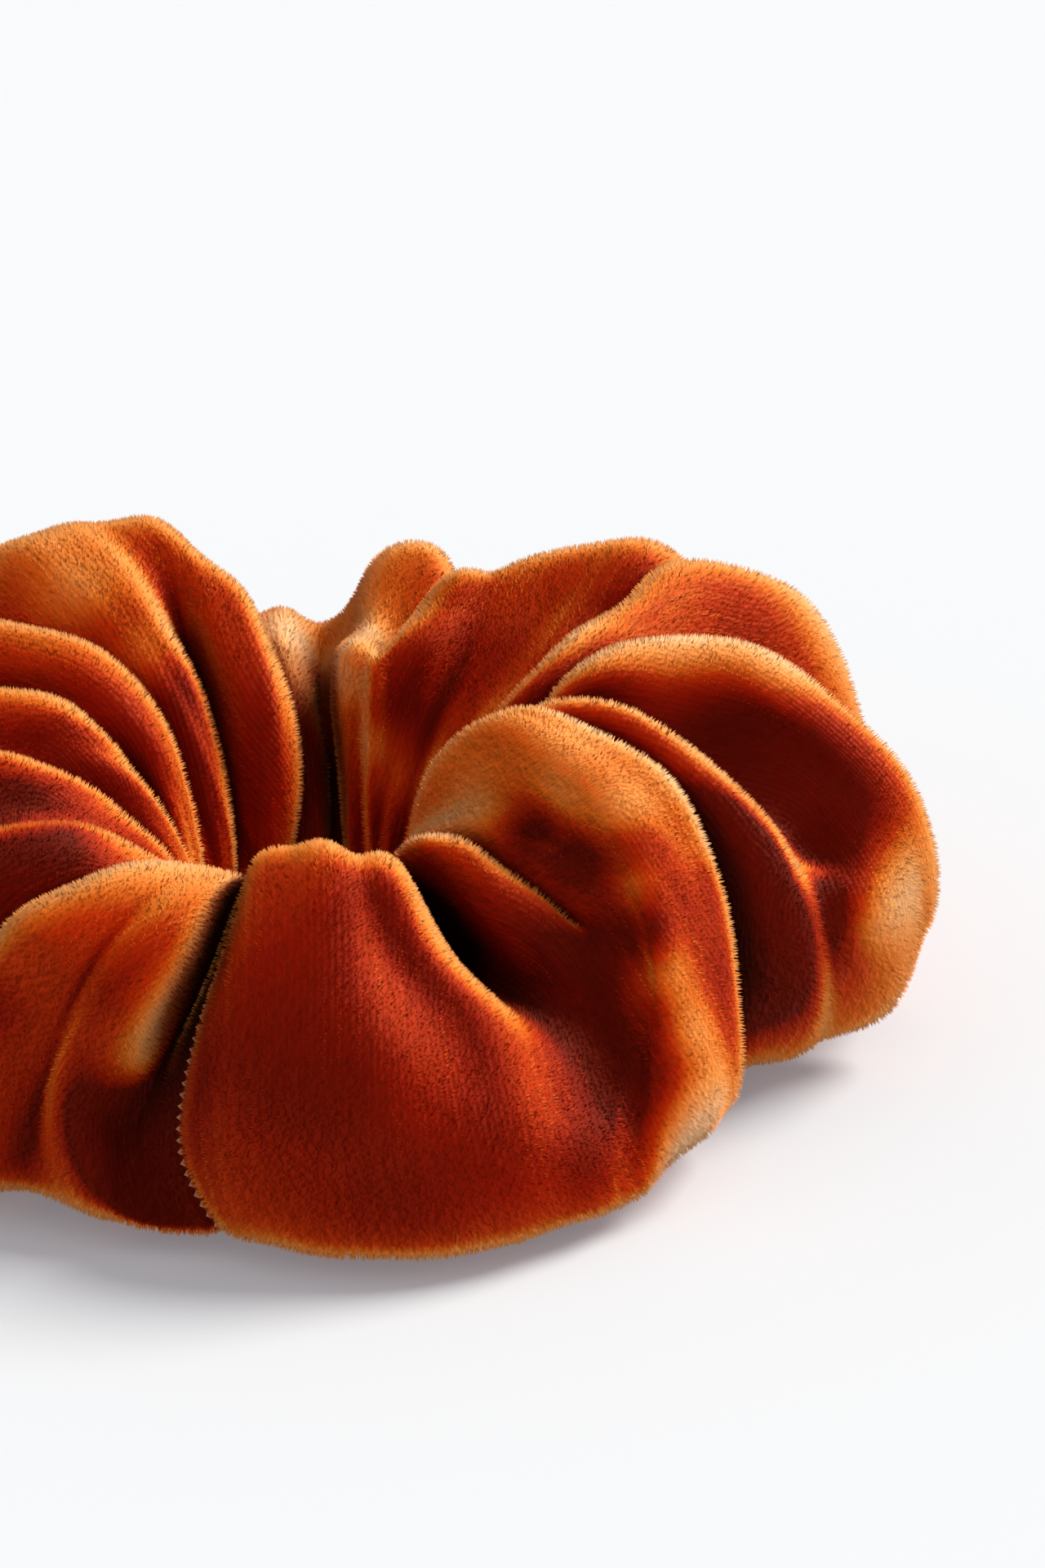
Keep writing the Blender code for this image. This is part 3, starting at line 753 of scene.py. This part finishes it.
def elastic_material():
    """White braided elastic: rubber ribs along its length, crossed by the yarns that wrap them, painted darker
    where they dip as painted shade in the grooves.
    """
    material, tree, surface = new_material("braided_elastic_band")
    place = add(tree, "ShaderNodeTexCoord").outputs["Object"]
    part = add(tree, "ShaderNodeSeparateXYZ", None, {0: place})
    ribs = add(tree, "ShaderNodeMath", {"operation": "MULTIPLY"},
               {0: part.outputs[2], 1: 2 * math.pi / RIB_PITCH})
    rib = add(tree, "ShaderNodeMath", {"operation": "SINE"}, {0: ribs.outputs[0]})
    angle = add(tree, "ShaderNodeMath", {"operation": "ARCTAN2"}, {0: part.outputs[1], 1: part.outputs[0]})
    turns = add(tree, "ShaderNodeMath", {"operation": "MULTIPLY"}, {0: angle.outputs[0], 1: YARNS})
    cross = add(tree, "ShaderNodeMath", {"operation": "ADD"}, {0: turns.outputs[0], 1: ribs.outputs[0]})
    yarn = add(tree, "ShaderNodeMath", {"operation": "SINE"}, {0: cross.outputs[0]})
    height = add(tree, "ShaderNodeMath", {"operation": "ADD"}, {0: rib.outputs[0], 1: yarn.outputs[0]})
    share = add(tree, "ShaderNodeMapRange", None, {0: height.outputs[0], 1: -2.0, 2: 2.0})
    # Painted shade: darker where the ribs and yarns dip, paler on their tops.
    shade = ramp(tree, share.outputs[0], [(0.0, "#b9b3a6"), (1.0, "#f1eee6")])
    tree.links.new(shade, surface.inputs["Base Color"])
    bump = add(tree, "ShaderNodeBump", None,
               {"Strength": 0.7, "Distance": 0.0002, "Height": height.outputs[0]})
    tree.links.new(bump.outputs[0], surface.inputs["Normal"])
    surface.inputs["Roughness"].default_value = 0.7
    return material


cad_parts["elastic_band"].material_slots[0].material = elastic_material()
for tack in ("elastic_tack_needle_thread", "elastic_tack_bobbin_thread"):
    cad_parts[tack].material_slots[0].material = twist


# The floor, the light and the camera. A wide sweep of pale paper, a large bright window as one soft sun from
# behind and to the right, and an even pale sky that fills the shadows from all round.
SWEEP = ((3, 0), (3.4, 0.03), (3.8, 0.16), (4.2, 0.5))  # the paper's radius and height, in metres
SPOKES = 64


def floor_piece():
    """White paper, faintly bright of its own as in a lit studio, and more so where it curves up."""
    mesh = bpy.data.meshes.new("floor")
    points, faces = [(0, 0, 0)], []
    for radius, height in SWEEP:
        points += [(radius * math.cos(turn), radius * math.sin(turn), height)
                   for turn in (k * 2 * math.pi / SPOKES for k in range(SPOKES))]
    for k in range(SPOKES):
        after = (k + 1) % SPOKES
        faces.append((0, 1 + k, 1 + after))
        for inner in range(1, 1 + SPOKES * (len(SWEEP) - 1), SPOKES):
            outer = inner + SPOKES
            faces.append((inner + k, outer + k, outer + after, inner + after))
    mesh.from_pydata(points, [], faces)
    mesh.shade_smooth()
    material, tree, surface = new_material("pale_paper")
    surface.inputs["Base Color"].default_value = colour("#c9ccce")
    surface.inputs["Emission Color"].default_value = colour("#eef1f8")
    place = add(tree, "ShaderNodeTexCoord").outputs["Object"]
    part = add(tree, "ShaderNodeSeparateXYZ", None, {0: place})
    glow = add(tree, "ShaderNodeMapRange", None, {0: part.outputs[2], 1: 0.0, 2: 0.16, 3: 0.18, 4: 0.5})
    tree.links.new(glow.outputs[0], surface.inputs["Emission Strength"])
    surface.inputs["Roughness"].default_value = 0.9
    surface.inputs["Specular IOR Level"].default_value = 0.1
    obj = show("floor", mesh, material)
    obj.location.z = -0.0002
    return obj


def add_camera(elevation, distance, across, rise):
    """A long lens at this elevation, aimed so that the ring's middle sits left of and below the frame's."""
    camera = bpy.data.cameras.new("camera")
    camera.sensor_fit = "VERTICAL"
    camera.sensor_height = 36
    camera.lens = 97.6
    camera.clip_start = 0.01
    obj = bpy.data.objects.new("camera", camera)
    bpy.context.collection.objects.link(obj)
    tilt = math.radians(elevation)
    up, ahead = Vector((0, math.sin(tilt), math.cos(tilt))), Vector((0, math.cos(tilt), -math.sin(tilt)))
    obj.location = Vector((across, 0, 0)) + up * rise - ahead * distance
    obj.rotation_euler = (math.pi / 2 - tilt, 0, 0)
    bpy.context.scene.camera = obj


def sun_light(name, place, power, spread, tint):
    """A soft sun that shines from this direction, as wide as a large window."""
    light = bpy.data.lights.new(name, "SUN")
    light.energy = power
    light.angle = math.radians(spread)
    light.color = colour(tint)[:3]
    obj = bpy.data.objects.new(name, light)
    bpy.context.collection.objects.link(obj)
    obj.rotation_euler = Vector(place).to_track_quat("Z", "Y").to_euler()
    return obj


floor_piece()
world = bpy.data.worlds.new("studio")
bpy.context.scene.world = world
world.use_nodes = True
world.node_tree.nodes["Background"].inputs[0].default_value = colour("#f2f5fa")
world.node_tree.nodes["Background"].inputs[1].default_value = 0.5
sun_light("window", (0.80, 0.40, 0.85), 4.1, 30, "#fffaf4")
add_camera(24, 0.380, 0.0175, 0.0195)
bpy.context.scene.view_settings.view_transform = "Standard"
